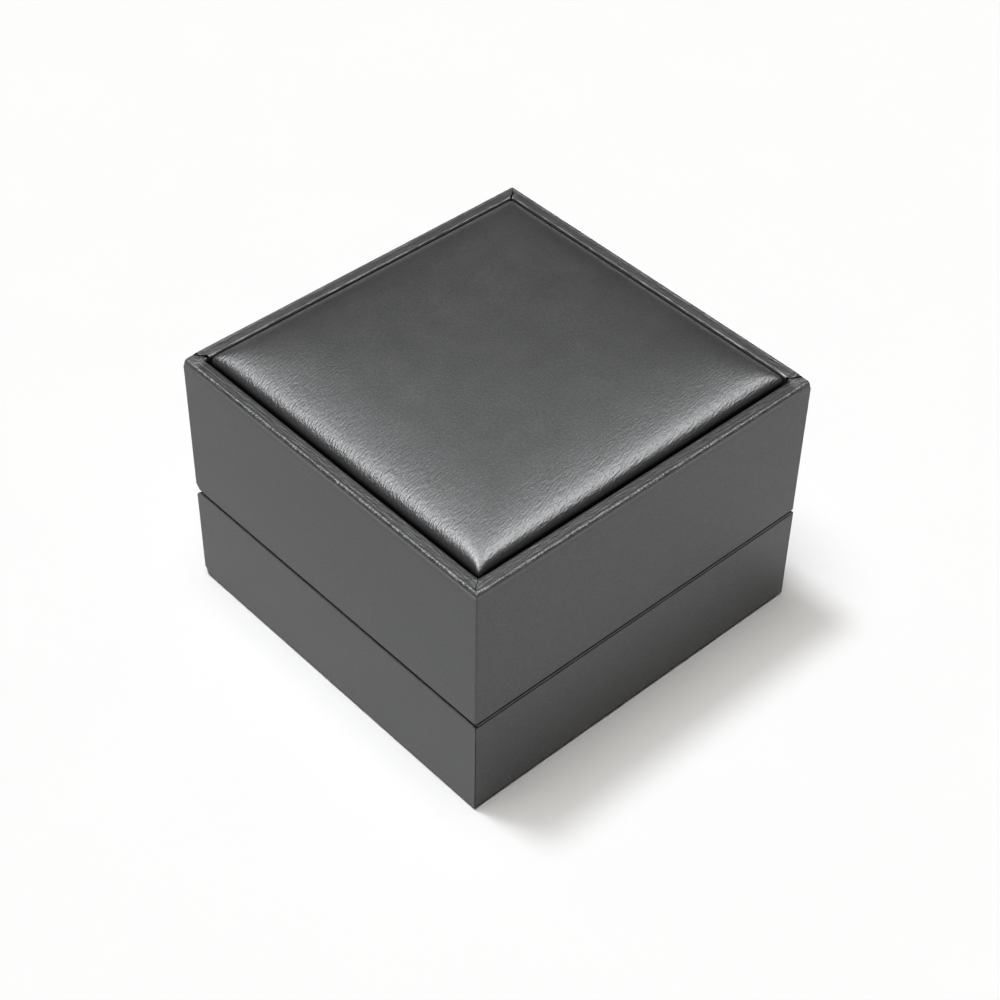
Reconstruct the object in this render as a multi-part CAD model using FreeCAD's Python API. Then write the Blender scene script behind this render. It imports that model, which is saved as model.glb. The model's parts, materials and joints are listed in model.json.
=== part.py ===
import FreeCAD, Part
import math
import os

# A ring box made of wrapped boards. A deep lid with a padded, crowned top turns on two small
# hinges let into the back walls. The base holds six ring rolls on its deck and, under the deck,
# a drawer whose mitred front is the whole front of the base.
#
# Frame: millimetres, origin on the table under the middle of the box.
# +X is to the right as the user faces the drawer, +Y is to the back, +Z is up.

# Outside sizes
box_width = 90.0            # left to right
box_depth = 88.5            # front to back
box_height = 60.9           # table to the top of the lid's rim
base_height = 25.25         # table to the top of the deck
seam_gap = 0.3              # between the deck and the lid's lower edge

# Materials by thickness
skin = 0.5                  # leatherette wrap
velvet = 0.4                # lining cloth
wall_board = 2.3            # walls of the lid and the base, and the drawer's front
floor_board = 2.0           # bottom of the base
deck_board_thickness = 1.5
deck_card = 0.5             # leatherette-covered card on the deck
underlay = 0.4              # felt under the base
collar_board = 1.5
drawer_board = 1.5          # sides, back and bottom of the drawer
top_board = 2.0             # board that closes the lid
cushion_board = 1.5

# Rounding of folded leatherette edges
corner_radius = 0.8         # upright corners
rim_radius = 0.8            # upper outer edge of the rim
rim_inner_radius = 0.5      # upper inner edge of the rim
fold_radius = 0.2           # long edges at the seam

# Base
underlay_inset = 2.0
notch_width = 18.0          # thumb notch in the bottom, under the drawer's front
notch_depth = 13.0
collar_height = 6.5
collar_clearance = 0.5      # between the collar's velvet and the lid's lining
roll_count = 6
roll_gap = 0.5              # between neighbouring rolls
roll_flat = 0.6             # how far each roll is flattened where it is glued down
roll_end_gap = 0.3

# Drawer
front_lift = 0.3            # drawer front above the underside of the walls
front_top_gap = 0.3         # drawer front under the deck's card
front_back_gap = 0.3        # drawer front to the bottom board and the deck board behind it
mitre_gap = 0.2             # square across each mitre
drawer_side_gap = 0.4
drawer_back_gap = 0.5
drawer_top_gap = 0.35
drawer_travel = 60.0
glide_height = 0.4
glide_width = 3.0
glide_gap = 0.15            # running gap over the glides
stop_height = 1.6
stop_width = 4.0
stop_length = 40.0
stop_gap = 0.3

# Lid
cushion_gap = 0.4           # between the cushion and the inside of the rim
cushion_thickness = 5.6     # foam and cover at the cushion's shoulder
cushion_crown = 1.7         # rise of the middle over the shoulder
cushion_rise = 0.9          # shoulder above the top of the rim
cushion_roll = 2.5          # radius of the cushion's upper edge
cushion_corner = 1.5        # upright corners of the cushion
foam_slack = 0.1            # foam to cover
ceiling_pad_thickness = 2.4
ceiling_pad_gap = 0.3
lining_lift = 0.3           # lining's lower edge above the folded wrap

# Hinges
hinge_inset = 21.0          # side of the box to the middle of the nearer hinge
hinge_length = 10.0
knuckle_gap = 0.2           # along the pin, between knuckles
barrel_radius = 1.0
barrel_room = 0.2           # round the barrel, in the boards
barrel_end_room = 0.3
pin_radius = 0.5
pin_clearance = 0.05        # radial running fit
leaf_thickness = 0.6
leaf_depth = 8.0            # from the pin to the far edge of a leaf
kerf_room = 0.05            # round a leaf in its saw cut
groove_angle = 50.5         # bevel of each back edge, from level

# Magnets
magnet_radius = 2.0
magnet_thickness = 1.2
magnet_room = 0.05
magnet_inset = 20.0         # side of the box to the nearer magnet of each pair
magnet_height = 3.4         # middles of the lid's magnets above the deck
catch_height = 13.0         # middle of the drawer's catch above the table
catch_width = 8.0
catch_plate_height = 5.0
catch_plate_thickness = 0.6

# Worked out from the sizes above
half_width = box_width / 2
half_depth = box_depth / 2
wall = skin + wall_board
inner_x = half_width - wall
inner_y = half_depth - wall
rim = wall + skin
base_bottom = underlay
wall_top = base_height - deck_card
deck_underside = wall_top - deck_board_thickness
floor_top = base_bottom + floor_board
lid_bottom = base_height + seam_gap
front_back = -half_depth + wall
bay_front = front_back + front_back_gap
pin_y = half_depth - skin - wall_board / 2
pin_z = base_height + seam_gap / 2
hinge_x = half_width - hinge_inset
magnet_x = half_width - magnet_inset
shoulder_z = box_height + cushion_rise
cushion_seat = shoulder_z - cushion_thickness
top_board_top = cushion_seat - cushion_board
top_board_underside = top_board_top - top_board
collar_x = inner_x - velvet - collar_clearance - velvet
collar_y = inner_y - velvet - collar_clearance - velvet
collar_top = base_height + collar_height
tray_top = base_height + velvet
drawer_x = inner_x - drawer_side_gap
drawer_rear = inner_y - drawer_back_gap
drawer_underside = floor_top + glide_height + glide_gap
drawer_floor = drawer_underside + drawer_board
drawer_side_top = deck_underside - stop_height - drawer_top_gap
drawer_back_top = deck_underside - drawer_top_gap
drawer_inner_x = drawer_x - drawer_board
drawer_back_face = drawer_rear - drawer_board
mitre_shift = mitre_gap / math.sqrt(2)
skin_over_mitre = skin * math.sqrt(2)
beyond = 5.0                # how far cutting shapes reach past what they cut
touching = 1e-6             # places closer than this are the same place


# ---------------------------------------------------------------- shapes

def point(x, y, z):
    return FreeCAD.Vector(x, y, z)


def block(x_low, x_high, y_low, y_high, z_low, z_high):
    size = (x_high - x_low, y_high - y_low, z_high - z_low)
    return Part.makeBox(*size, point(x_low, y_low, z_low))


def centred_block(half_x, half_y, z_low, z_high):
    return block(-half_x, half_x, -half_y, half_y, z_low, z_high)


def centred_ring(half_x, half_y, thickness, z_low, z_high):
    outside = centred_block(half_x, half_y, z_low, z_high)
    inside = centred_block(half_x - thickness, half_y - thickness, z_low, z_high)
    return outside.cut(inside)


def prism(corners, reach):
    """Solid between a flat outline and the same outline moved by reach."""
    return Part.Face(Part.makePolygon(corners + corners[:1])).extrude(reach)


def rod_along_x(radius, x_low, x_high, y, z):
    return Part.makeCylinder(radius, x_high - x_low, point(x_low, y, z), point(1, 0, 0))


def disc_along_y(radius, x, y_low, y_high, z):
    return Part.makeCylinder(radius, y_high - y_low, point(x, y_low, z), point(0, 1, 0))


def edges_where(shape, test):
    return [edge for edge in shape.Edges if test(edge)]


def is_upright(edge):
    ends = [vertex.Point for vertex in edge.Vertexes]
    return abs(ends[0].z - ends[1].z) > abs(ends[0].x - ends[1].x) + abs(ends[0].y - ends[1].y)


def is_level_at(edge, height):
    return all(abs(vertex.Z - height) < touching for vertex in edge.Vertexes)


def cut_all(shape, cutters):
    for cutter in cutters:
        shape = shape.cut(cutter)
    return shape


def mirrored_x(shape):
    return shape.mirror(point(0, 0, 0), point(1, 0, 0))


def pair_at(x, make):
    """The same solid made at minus and plus x, as one group."""
    return Part.makeCompound([make(side * x) for side in (-1, 1)])


# ---------------------------------------------------------------- room for the hinges

def groove(upward, inset):
    """Wedge beside the pin that bevels the back edge of the lid (upward 1) or base (-1)."""
    apex_y = pin_y - inset / math.sin(math.radians(groove_angle))
    run = half_depth - apex_y + beyond
    rise = run * math.tan(math.radians(groove_angle))
    x_low = -half_width - beyond
    corners = [
        point(x_low, apex_y, pin_z),
        point(x_low, apex_y + run, pin_z),
        point(x_low, apex_y + run, pin_z + upward * rise),
    ]
    return prism(corners, point(2 * (half_width + beyond), 0, 0))


def hinge_room(middle):
    """Round room for a barrel, with a saw cut above and below it for the two leaves."""
    half_length = hinge_length / 2
    barrel = rod_along_x(
        barrel_radius + barrel_room,
        middle - half_length - barrel_end_room,
        middle + half_length + barrel_end_room,
        pin_y, pin_z,
    )
    half_kerf = leaf_thickness / 2 + kerf_room
    kerf = block(
        middle - half_length - kerf_room, middle + half_length + kerf_room,
        pin_y - half_kerf, pin_y + half_kerf,
        pin_z - leaf_depth - kerf_room, pin_z + leaf_depth + kerf_room,
    )
    return barrel.fuse(kerf)


def hinge_rooms():
    return [hinge_room(side * hinge_x) for side in (-1, 1)]


# ---------------------------------------------------------------- base

def front_opening(shift):
    """Plan wedge in front of the base's walls, whose 45 degree sides are the mitres."""
    corners = [
        point(-half_width - beyond, -half_depth + shift - beyond, 0),
        point(half_width + beyond, -half_depth + shift - beyond, 0),
        point(0, -half_depth + shift + half_width, 0),
    ]
    return prism(corners, point(0, 0, base_height))


def thumb_notch():
    radius = notch_width / 2
    middle_y = bay_front + notch_depth - radius
    straight = block(-radius, radius, bay_front - beyond, middle_y, 0, floor_top)
    rounded = Part.makeCylinder(radius, floor_top, point(0, middle_y, 0))
    return straight.fuse(rounded)


def base_underlay():
    sheet = block(
        -half_width + underlay_inset, half_width - underlay_inset,
        bay_front + underlay_inset / 2, half_depth - underlay_inset,
        0, underlay,
    )
    return sheet.cut(thumb_notch())


def base_bottom_board():
    board = block(-inner_x, inner_x, bay_front, inner_y, base_bottom, floor_top)
    return board.cut(thumb_notch())


def base_side_board(side):
    board = block(inner_x, inner_x + wall_board, -half_depth, half_depth - skin, base_bottom, wall_top)
    board = cut_all(board, [front_opening(mitre_shift + skin_over_mitre), groove(-1, skin)])
    return board if side > 0 else mirrored_x(board)


def catch_magnet(room):
    deep = magnet_thickness + room
    return disc_along_y(magnet_radius + room, 0, inner_y, inner_y + deep, catch_height)


def base_back_board():
    board = block(-inner_x, inner_x, inner_y, inner_y + wall_board, base_bottom, wall_top)
    return cut_all(board, [groove(-1, skin), catch_magnet(magnet_room)] + hinge_rooms())


def base_wrap():
    outside = centred_block(half_width, half_depth, base_bottom, wall_top)
    back_corners = edges_where(outside, lambda edge: is_upright(edge) and edge.Vertexes[0].Y > 0)
    outside = outside.makeFillet(corner_radius, back_corners)
    bay = block(-inner_x, inner_x, -half_depth - beyond, inner_y, base_bottom, wall_top)
    boards = [
        base_side_board(-1),
        base_side_board(1),
        block(-inner_x, inner_x, inner_y, inner_y + wall_board, base_bottom, wall_top).cut(groove(-1, skin)),
    ]
    return cut_all(outside, [bay, front_opening(mitre_shift), groove(-1, 0)] + boards + hinge_rooms())


def base_deck_board():
    board = block(-inner_x, inner_x, bay_front, inner_y, deck_underside, wall_top)
    return cut_all(board, hinge_rooms())


def base_deck_cover():
    card = centred_block(half_width, half_depth, wall_top, base_height)
    card = card.makeFillet(corner_radius, edges_where(card, is_upright))
    card = card.makeFillet(fold_radius, edges_where(card, lambda edge: is_level_at(edge, base_height)))
    return cut_all(card, [groove(-1, 0)] + hinge_rooms())


def collar_magnets(room):
    face_y = -collar_y
    height = base_height + magnet_height
    deep = magnet_thickness + room
    return pair_at(
        magnet_x,
        lambda x: disc_along_y(magnet_radius + room, x, face_y, face_y + deep, height),
    )


def collar_front_board():
    board = block(-collar_x, collar_x, -collar_y, -collar_y + collar_board, base_height, collar_top)
    return board.cut(collar_magnets(magnet_room))


def collar_back_board():
    return block(-collar_x, collar_x, collar_y - collar_board, collar_y, base_height, collar_top)


def collar_side_board(side):
    reach_y = collar_y - collar_board
    board = block(collar_x - collar_board, collar_x, -reach_y, reach_y, base_height, collar_top)
    return board if side > 0 else mirrored_x(board)


def collar_velvet():
    outside = centred_ring(
        collar_x + velvet, collar_y + velvet, collar_board + 2 * velvet, base_height, collar_top + velvet,
    )
    return outside.cut(centred_ring(collar_x, collar_y, collar_board, base_height, collar_top))


def tray_velvet():
    inset = collar_board + velvet
    return centred_block(collar_x - inset, collar_y - inset, base_height, tray_top)


def ring_roll(number):
    """One soft roll, counted from the front, lying across the tray."""
    tray_x = collar_x - collar_board - velvet
    tray_y = collar_y - collar_board - velvet
    pitch = 2 * tray_y / roll_count
    radius = (pitch - roll_gap) / 2
    middle_y = -tray_y + (number + 0.5) * pitch
    middle_z = tray_top + radius - roll_flat
    roll = rod_along_x(radius, -tray_x + roll_end_gap, tray_x - roll_end_gap, middle_y, middle_z)
    under = centred_block(half_width, half_depth, 0, tray_top)
    return roll.cut(under)


def drawer_glide(side):
    glide = block(
        inner_x - glide_width, inner_x,
        bay_front + underlay_inset, inner_y,
        floor_top, floor_top + glide_height,
    )
    return glide if side > 0 else mirrored_x(glide)


def drawer_stop_strip():
    rear_y = drawer_back_face - drawer_travel - stop_gap
    half_length = stop_length / 2
    return block(
        -half_length, half_length, rear_y - stop_width, rear_y,
        deck_underside - stop_height, deck_underside,
    )


# ---------------------------------------------------------------- hinges

def leaf(middle, upward, knuckles):
    """Plate in a back wall with knuckles round the pin; upward is 1 in the lid, -1 in the base."""
    half_length = hinge_length / 2
    half_leaf = leaf_thickness / 2
    near = barrel_radius + barrel_room
    plate = block(
        middle - half_length, middle + half_length, pin_y - half_leaf, pin_y + half_leaf,
        pin_z + min(upward * near, upward * leaf_depth), pin_z + max(upward * near, upward * leaf_depth),
    )
    for x_low, x_high in knuckles:
        barrel = rod_along_x(barrel_radius, middle + x_low, middle + x_high, pin_y, pin_z)
        neck = block(
            middle + x_low, middle + x_high, pin_y - half_leaf, pin_y + half_leaf,
            pin_z + min(0, upward * near), pin_z + max(0, upward * near),
        )
        plate = plate.fuse(barrel).fuse(neck)
    bore = rod_along_x(
        pin_radius + pin_clearance, middle - hinge_length, middle + hinge_length, pin_y, pin_z,
    )
    return plate.cut(bore).removeSplitter()


def knuckle_ends():
    """The three knuckles of a hinge as pairs of places along its pin."""
    length = (hinge_length - 2 * knuckle_gap) / 3
    starts = [-hinge_length / 2 + number * (length + knuckle_gap) for number in range(3)]
    return [(start, start + length) for start in starts]


def base_leaf(side):
    return leaf(side * hinge_x, -1, knuckle_ends()[1:2])


def lid_leaf(side):
    return leaf(side * hinge_x, 1, knuckle_ends()[0::2])


def hinge_pin(side):
    middle = side * hinge_x
    half_length = hinge_length / 2
    return rod_along_x(pin_radius, middle - half_length, middle + half_length, pin_y, pin_z)


# ---------------------------------------------------------------- lid

def lid_wall_space():
    """Where the four boards of the lid's wall stand, inside the wrap's folds."""
    ring = centred_ring(
        half_width - skin, half_depth - skin, wall_board, lid_bottom + skin, box_height - skin,
    )
    return ring.cut(groove(1, skin))


def lid_magnets(room):
    face_y = -inner_y
    height = base_height + magnet_height
    deep = magnet_thickness + room
    return pair_at(
        magnet_x,
        lambda x: disc_along_y(magnet_radius + room, x, face_y - deep, face_y, height),
    )


def lid_side_board(side):
    board = lid_wall_space().common(
        block(inner_x, half_width, -half_depth, half_depth, lid_bottom, box_height)
    )
    return board if side > 0 else mirrored_x(board)


def lid_front_board():
    board = lid_wall_space().common(block(-inner_x, inner_x, -half_depth, 0, lid_bottom, box_height))
    return board.cut(lid_magnets(magnet_room))


def lid_back_board():
    board = lid_wall_space().common(block(-inner_x, inner_x, 0, half_depth, lid_bottom, box_height))
    return cut_all(board, hinge_rooms())


def lid_wrap():
    outside = centred_block(half_width, half_depth, lid_bottom, box_height)
    outside = outside.makeFillet(corner_radius, edges_where(outside, is_upright))
    top_edges = edges_where(outside, lambda edge: is_level_at(edge, box_height))
    outside = outside.makeFillet(min(rim_radius, corner_radius), top_edges)
    bottom_edges = edges_where(outside, lambda edge: is_level_at(edge, lid_bottom))
    outside = outside.makeFillet(fold_radius, bottom_edges)
    below = centred_block(inner_x, inner_y, lid_bottom, top_board_top)
    above = centred_block(half_width - rim, half_depth - rim, top_board_top, box_height)
    hollow = cut_all(outside, [below, above, lid_wall_space(), groove(1, 0)] + hinge_rooms())
    inner_edges = edges_where(
        hollow,
        lambda edge: is_level_at(edge, box_height)
        and all(
            abs(vertex.X) < half_width - rim + touching and abs(vertex.Y) < half_depth - rim + touching
            for vertex in edge.Vertexes
        ),
    )
    return hollow.makeFillet(rim_inner_radius, inner_edges)


def lid_top_board():
    return centred_block(inner_x, inner_y, top_board_underside, top_board_top)


def pillow_profile(half, low, high, crown, roll):
    """Points and arcs, across one way, of a block with rolled upper edges and a crowned top."""
    bend = roll * (1 - math.sqrt(0.5))
    left_side = point(-half, 0, high - roll)
    left_shoulder = point(-half + roll, 0, high)
    right_shoulder = point(half - roll, 0, high)
    right_side = point(half, 0, high - roll)
    return Part.Wire([
        Part.LineSegment(point(half, 0, low), point(-half, 0, low)).toShape(),
        Part.LineSegment(point(-half, 0, low), left_side).toShape(),
        Part.Arc(left_side, point(-half + bend, 0, high - bend), left_shoulder).toShape(),
        Part.Arc(left_shoulder, point(0, 0, high + crown), right_shoulder).toShape(),
        Part.Arc(right_shoulder, point(half - bend, 0, high - bend), right_side).toShape(),
        Part.LineSegment(right_side, point(half, 0, low)).toShape(),
    ])


def pillow(half_x, half_y, low, high, crown, roll, corner):
    """Crowned pad: one arched bar along Y crossed with one along X."""
    across = Part.Face(pillow_profile(half_x, low, high, crown, roll))
    along_y = across.extrude(point(0, 2 * half_depth, 0))
    along_y.translate(point(0, -half_depth, 0))
    across = Part.Face(pillow_profile(half_y, low, high, crown, roll))
    along_x = across.extrude(point(0, 2 * half_width, 0))
    along_x.translate(point(0, -half_width, 0))
    along_x.rotate(point(0, 0, 0), point(0, 0, 1), 90)
    corners = centred_block(half_x, half_y, low, high + crown)
    corners = corners.makeFillet(corner, edges_where(corners, is_upright))
    return along_y.common(along_x).common(corners)


def cushion_outside():
    return pillow(
        half_width - rim - cushion_gap, half_depth - rim - cushion_gap,
        top_board_top, shoulder_z, cushion_crown, cushion_roll, cushion_corner,
    )


def lid_cushion_board():
    inset = rim + cushion_gap + skin
    board = centred_block(half_width - inset, half_depth - inset, top_board_top, cushion_seat)
    return board.makeFillet(cushion_corner - skin, edges_where(board, is_upright))


def cushion_inside(slack):
    inset = rim + cushion_gap + skin + slack
    return pillow(
        half_width - inset, half_depth - inset,
        cushion_seat, shoulder_z - skin - slack, cushion_crown, cushion_roll - skin, cushion_corner - skin,
    )


def lid_cushion_cover():
    return cut_all(cushion_outside(), [lid_cushion_board(), cushion_inside(0)])


def lid_ceiling_pad():
    inset = velvet + ceiling_pad_gap
    pad = centred_block(
        inner_x - inset, inner_y - inset, top_board_underside - ceiling_pad_thickness, top_board_underside,
    )
    soft_edges = edges_where(
        pad, lambda edge: is_level_at(edge, top_board_underside - ceiling_pad_thickness)
    )
    return pad.makeFillet(ceiling_pad_thickness / 2, soft_edges)


def lid_wall_lining():
    lining = centred_ring(inner_x, inner_y, velvet, lid_bottom + skin + lining_lift, top_board_underside)
    return cut_all(lining, hinge_rooms())


# ---------------------------------------------------------------- drawer

def front_outline(shift, y_low, height_low, height_high):
    """Drawer front between its mitres, from y_low back to its rear face."""
    at_low = half_width - mitre_shift - shift - (y_low + half_depth)
    at_back = half_width - mitre_shift - shift - wall
    corners = [
        point(-at_low, y_low, height_low),
        point(at_low, y_low, height_low),
        point(at_back, front_back, height_low),
        point(-at_back, front_back, height_low),
    ]
    return prism(corners, point(0, 0, height_high - height_low))


front_low = base_bottom + front_lift
front_high = wall_top - front_top_gap


def drawer_front_board():
    return front_outline(skin_over_mitre, -half_depth + skin, front_low + skin, front_high - skin)


def drawer_front_wrap():
    outside = front_outline(0, -half_depth, front_low, front_high)
    face_edges = edges_where(
        outside,
        lambda edge: all(abs(vertex.Y + half_depth) < touching for vertex in edge.Vertexes)
        and not is_upright(edge),
    )
    return outside.makeFillet(fold_radius, face_edges).cut(drawer_front_board())


def drawer_side(side):
    board = block(
        drawer_inner_x, drawer_x, front_back, drawer_rear, drawer_underside, drawer_side_top,
    )
    return board if side > 0 else mirrored_x(board)


def drawer_bottom():
    return block(
        -drawer_inner_x, drawer_inner_x, front_back, drawer_rear, drawer_underside, drawer_floor,
    )


def drawer_catch_plate(room):
    half = catch_width / 2 + room
    half_tall = catch_plate_height / 2 + room
    return block(
        -half, half, drawer_rear - catch_plate_thickness - room, drawer_rear,
        catch_height - half_tall, catch_height + half_tall,
    )


def drawer_back():
    board = block(
        -drawer_inner_x, drawer_inner_x, drawer_back_face, drawer_rear, drawer_floor, drawer_back_top,
    )
    return board.cut(drawer_catch_plate(magnet_room))


def drawer_floor_velvet():
    return block(
        -drawer_inner_x + velvet, drawer_inner_x - velvet,
        front_back + velvet, drawer_back_face - velvet,
        drawer_floor, drawer_floor + velvet,
    )


def drawer_wall_velvet():
    outside = block(
        -drawer_inner_x, drawer_inner_x, front_back, drawer_back_face, drawer_floor, drawer_side_top,
    )
    inside = block(
        -drawer_inner_x + velvet, drawer_inner_x - velvet,
        front_back + velvet, drawer_back_face - velvet,
        drawer_floor, drawer_side_top,
    )
    return outside.cut(inside)


# ---------------------------------------------------------------- all the pieces

def all_pieces():
    pieces = {
        "base_underlay": base_underlay(),
        "base_bottom_board": base_bottom_board(),
        "base_left_board": base_side_board(-1),
        "base_right_board": base_side_board(1),
        "base_back_board": base_back_board(),
        "base_wrap": base_wrap(),
        "base_deck_board": base_deck_board(),
        "base_deck_cover": base_deck_cover(),
        "collar_front_board": collar_front_board(),
        "collar_back_board": collar_back_board(),
        "collar_left_board": collar_side_board(-1),
        "collar_right_board": collar_side_board(1),
        "collar_velvet": collar_velvet(),
        "collar_magnets": collar_magnets(0),
        "tray_velvet": tray_velvet(),
        "drawer_glide_left": drawer_glide(-1),
        "drawer_glide_right": drawer_glide(1),
        "drawer_stop_strip": drawer_stop_strip(),
        "drawer_catch_magnet": catch_magnet(0),
        "hinge_base_leaf_left": base_leaf(-1),
        "hinge_base_leaf_right": base_leaf(1),
        "hinge_pin_left": hinge_pin(-1),
        "hinge_pin_right": hinge_pin(1),
        "hinge_lid_leaf_left": lid_leaf(-1),
        "hinge_lid_leaf_right": lid_leaf(1),
        "lid_front_board": lid_front_board(),
        "lid_back_board": lid_back_board(),
        "lid_left_board": lid_side_board(-1),
        "lid_right_board": lid_side_board(1),
        "lid_wrap": lid_wrap(),
        "lid_magnets": lid_magnets(0),
        "lid_top_board": lid_top_board(),
        "lid_cushion_board": lid_cushion_board(),
        "lid_cushion_foam": cushion_inside(foam_slack),
        "lid_cushion_cover": lid_cushion_cover(),
        "lid_ceiling_pad": lid_ceiling_pad(),
        "lid_wall_lining": lid_wall_lining(),
        "drawer_front_board": drawer_front_board(),
        "drawer_front_wrap": drawer_front_wrap(),
        "drawer_left_side": drawer_side(-1),
        "drawer_right_side": drawer_side(1),
        "drawer_back": drawer_back(),
        "drawer_bottom": drawer_bottom(),
        "drawer_floor_velvet": drawer_floor_velvet(),
        "drawer_wall_velvet": drawer_wall_velvet(),
        "drawer_catch_plate": drawer_catch_plate(0),
    }
    for number in range(roll_count):
        pieces[f"ring_roll_{number + 1}"] = ring_roll(number)
    return pieces


def write_parts():
    os.makedirs("parts", exist_ok=True)
    for name, shape in all_pieces().items():
        shape.exportStep(f"parts/{name}.step")
        print(f"{name}: {len(shape.Solids)} solid(s), {shape.Volume:.2f} mm3")


write_parts()
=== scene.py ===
# %% [markdown]
# # A ring box with a padded lid and a hidden drawer
#
# This lesson dresses a finished CAD model of a ring box. The CAD holds the boards, the hinges
# and the drawer at their real sizes. Here each of them gets its cover: dark pearl-grey
# leatherette outside, black velvet inside, and bare grey board where the box is bare.
#
# All lengths are metres, in the CAD model's own frame. X runs along the drawer's front, Y runs
# to the hinged back, Z is up, and the origin is on the table under the middle of the box.

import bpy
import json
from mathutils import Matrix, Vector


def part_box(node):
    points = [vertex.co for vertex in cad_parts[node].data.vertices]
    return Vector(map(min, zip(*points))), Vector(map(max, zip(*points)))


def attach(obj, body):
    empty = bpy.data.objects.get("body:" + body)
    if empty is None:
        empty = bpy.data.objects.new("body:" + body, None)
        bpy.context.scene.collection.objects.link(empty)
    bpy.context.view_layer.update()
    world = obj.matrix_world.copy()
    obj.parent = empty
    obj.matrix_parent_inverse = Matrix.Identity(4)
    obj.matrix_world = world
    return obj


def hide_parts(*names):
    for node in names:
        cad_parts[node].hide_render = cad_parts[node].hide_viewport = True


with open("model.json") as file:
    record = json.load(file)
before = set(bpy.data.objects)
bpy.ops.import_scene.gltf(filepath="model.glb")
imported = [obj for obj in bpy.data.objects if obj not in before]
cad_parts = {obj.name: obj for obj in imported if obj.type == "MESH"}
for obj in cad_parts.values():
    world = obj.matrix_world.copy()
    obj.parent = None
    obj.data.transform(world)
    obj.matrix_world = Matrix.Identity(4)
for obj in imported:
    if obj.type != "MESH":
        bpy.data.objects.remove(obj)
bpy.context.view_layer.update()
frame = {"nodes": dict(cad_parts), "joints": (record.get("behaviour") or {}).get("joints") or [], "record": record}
nodes = frame["nodes"]

# %% Modules and the millimetre
import json
import math

import bmesh
import bpy
from mathutils import Matrix, Vector, noise

mm = 0.001
scene = bpy.context.scene
scene.view_settings.view_transform = "Standard"

# %% Sizes, read from the CAD model
wrap_low, wrap_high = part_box("lid_wrap")
half_width = wrap_high.x
half_depth = wrap_high.y
rim_top = wrap_high.z
skin = 0.5 * mm
board = 2.3 * mm
wall = skin + board
rim = wall + skin
print("box", round(2 * half_width / mm, 2), "x", round(2 * half_depth / mm, 2), "mm")
print("rim", round(rim / mm, 2), "mm wide, its top at", round(rim_top / mm, 2), "mm")

# %% [markdown]
# ## The camera
#
# A small box shows best from well above one corner and through a fairly long lens, so that its
# edges stay nearly parallel. The camera is aimed at a point inside the box and then rolled by a
# little more than a degree, because a hand-held camera is rarely level.

# %% Camera
lens = bpy.data.cameras.new("camera")
lens.lens = 79.0
lens.sensor_width = 36.0
lens.clip_start = 10 * mm
camera = bpy.data.objects.new("camera", lens)
scene.collection.objects.link(camera)
camera_place = Vector((-229.04, -245.69, 343.85)) * mm
camera_target = Vector((-2.7, -4.7, 30.0)) * mm
camera_roll = math.radians(1.22)
aim = (camera_target - camera_place).to_track_quat("-Z", "Y").to_matrix()
rolled = aim @ Matrix.Rotation(camera_roll, 3, "Z")
camera.matrix_world = Matrix.Translation(camera_place) @ rolled.to_4x4()
scene.camera = camera
print("camera's right:", [round(value, 4) for value in camera.matrix_world.col[0][:3]])

# %% [markdown]
# ## The shader notebook
#
# A material is a small sum: grain plus mottling, wear times dirt. Blender writes such sums as
# Math nodes, which are slow to wire by hand. The class below wraps a socket, so that an
# ordinary Python expression adds the Math nodes. Every other node comes from its method
# `node`, which sets the node's own settings first and its sockets after.

# %% A class for shader sums
class Paint:
    """One output socket. Sums and products of Paints add Math nodes."""

    def __init__(self, tree, socket=None):
        self.tree = tree
        self.socket = socket

    def node(self, kind, settings=None, inputs=None, output=0):
        """Adds any shader node and gives one of its outputs."""
        made = self.tree.nodes.new("ShaderNode" + kind)
        for name, value in (settings or {}).items():
            if name == "stops":
                self.set_stops(made.color_ramp, value)
            else:
                setattr(made, name, value)
        for name, value in (inputs or {}).items():
            if isinstance(value, Paint):
                self.tree.links.new(value.socket, made.inputs[name])
            else:
                made.inputs[name].default_value = value
        return Paint(self.tree, made.outputs[output])

    def set_stops(self, ramp, stops):
        while len(ramp.elements) < len(stops):
            ramp.elements.new(0.5)
        for element, (position, colour) in zip(ramp.elements, stops):
            element.position = position
            element.color = colour

    def maths(self, operation, *values):
        return self.node("Math", {"operation": operation}, dict(enumerate(values)))

    def __add__(self, other):
        return self.maths("ADD", self, other)

    def __sub__(self, other):
        return self.maths("SUBTRACT", self, other)

    def __rsub__(self, other):
        return self.maths("SUBTRACT", other, self)

    def __mul__(self, other):
        return self.maths("MULTIPLY", self, other)

    __radd__ = __add__
    __rmul__ = __mul__


# %% Helpers that every finish uses
def start_finish(name, **constants):
    """A new material with one Principled shader. Constants go on the shader's own sockets."""
    material = bpy.data.materials.new(name)
    material.use_nodes = True
    shader = material.node_tree.nodes["Principled BSDF"]
    for socket, value in constants.items():
        shader.inputs[socket.replace("_", " ")].default_value = value
    return material, Paint(material.node_tree), shader


def feed(paint, shader, **links):
    """Links what varies over the surface to the shader."""
    for socket, value in links.items():
        paint.tree.links.new(value.socket, shader.inputs[socket.replace("_", " ")])


def object_place(paint):
    return paint.node("TexCoord", output="Object")


def grain(paint, place, size, detail=2.0, roughness=0.5):
    """Noise from 0 to 1 whose lumps are about as large as size."""
    inputs = {"Vector": place, "Scale": 1 / size, "Detail": detail, "Roughness": roughness}
    return paint.node("TexNoise", {}, inputs)


def bump(paint, height, depth):
    """A bump whose full height is depth."""
    return paint.node("Bump", {}, {"Height": height, "Distance": depth, "Strength": 1.0})


def shade_between(paint, amount, dark, light):
    """A colour between two colours, by an amount from 0 to 1."""
    return paint.node("ValToRGB", {"stops": [(0.0, (*dark, 1)), (1.0, (*light, 1))]}, {"Fac": amount})


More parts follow.
